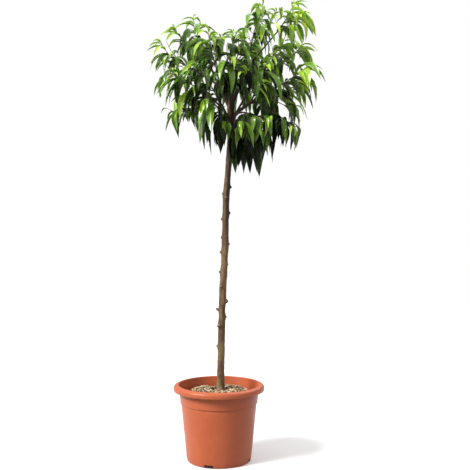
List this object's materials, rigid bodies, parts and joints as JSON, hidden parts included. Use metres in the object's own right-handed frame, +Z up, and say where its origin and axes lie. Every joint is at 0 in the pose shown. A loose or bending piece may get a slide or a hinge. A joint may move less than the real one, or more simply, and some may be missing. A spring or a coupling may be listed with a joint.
{
  "type": "potted peach tree",
  "caption": "Young peach tree grown as a standard: a clean slender stem under a two-lobed head of long drooping leaves, in a round terracotta-coloured plastic pot.",
  "frame": {"origin": "centre of the pot's flat underside, on the ground", "axes": "+Z up along the stem, -Y towards the viewer in the picture, +X to the viewer's right"},
  "size_m": [0.586, 0.4903, 1.5143],
  "materials": {
    "terracotta_plastic": "satin",
    "soil_and_chips": "matte",
    "bark": "matte",
    "leaf_green": "satin"
  },
  "bodies": {
    "root": {"bough_back_centre": "bark", "bough_back_centre_top": "bark", "bough_back_left_low": "bark", "bough_back_left_top": "bark", "bough_back_low": "bark", "bough_back_right_low": "bark", "bough_back_right_top": "bark", "bough_centre_deep": "bark", "bough_centre_front": "bark", "bough_centre_low": "bark", "bough_centre_top": "bark", "bough_front_low": "bark", "bough_left_bottom": "bark", "bough_left_far": "bark", "bough_left_front": "bark", "bough_left_leader": "bark", "bough_left_low": "bark", "bough_left_mid": "bark", "bough_low_right": "bark", "bough_low_trunk": "bark", "bough_right_bottom": "bark", "bough_right_crest": "bark", "bough_right_far": "bark", "bough_right_front": "bark", "bough_right_leader": "bark", "bough_right_low": "bark", "bough_right_upper": "bark", "leaves_back_centre": "leaf_green", "leaves_back_centre_top": "leaf_green", "leaves_back_left_low": "leaf_green", "leaves_back_left_top": "leaf_green", "leaves_back_low": "leaf_green", "leaves_back_right_low": "leaf_green", "leaves_back_right_top": "leaf_green", "leaves_centre_deep": "leaf_green", "leaves_centre_front": "leaf_green", "leaves_centre_low": "leaf_green", "leaves_centre_top": "leaf_green", "leaves_front_low": "leaf_green", "leaves_left_bottom": "leaf_green", "leaves_left_far": "leaf_green", "leaves_left_front": "leaf_green", "leaves_left_leader": "leaf_green", "leaves_left_low": "leaf_green", "leaves_left_mid": "leaf_green", "leaves_low_right": "leaf_green", "leaves_low_trunk": "leaf_green", "leaves_right_bottom": "leaf_green", "leaves_right_crest": "leaf_green", "leaves_right_far": "leaf_green", "leaves_right_front": "leaf_green", "leaves_right_leader": "leaf_green", "leaves_right_low": "leaf_green", "leaves_right_upper": "leaf_green", "pot": "terracotta_plastic", "soil": "soil_and_chips", "trunk": "bark"}
  },
  "joints": []
}
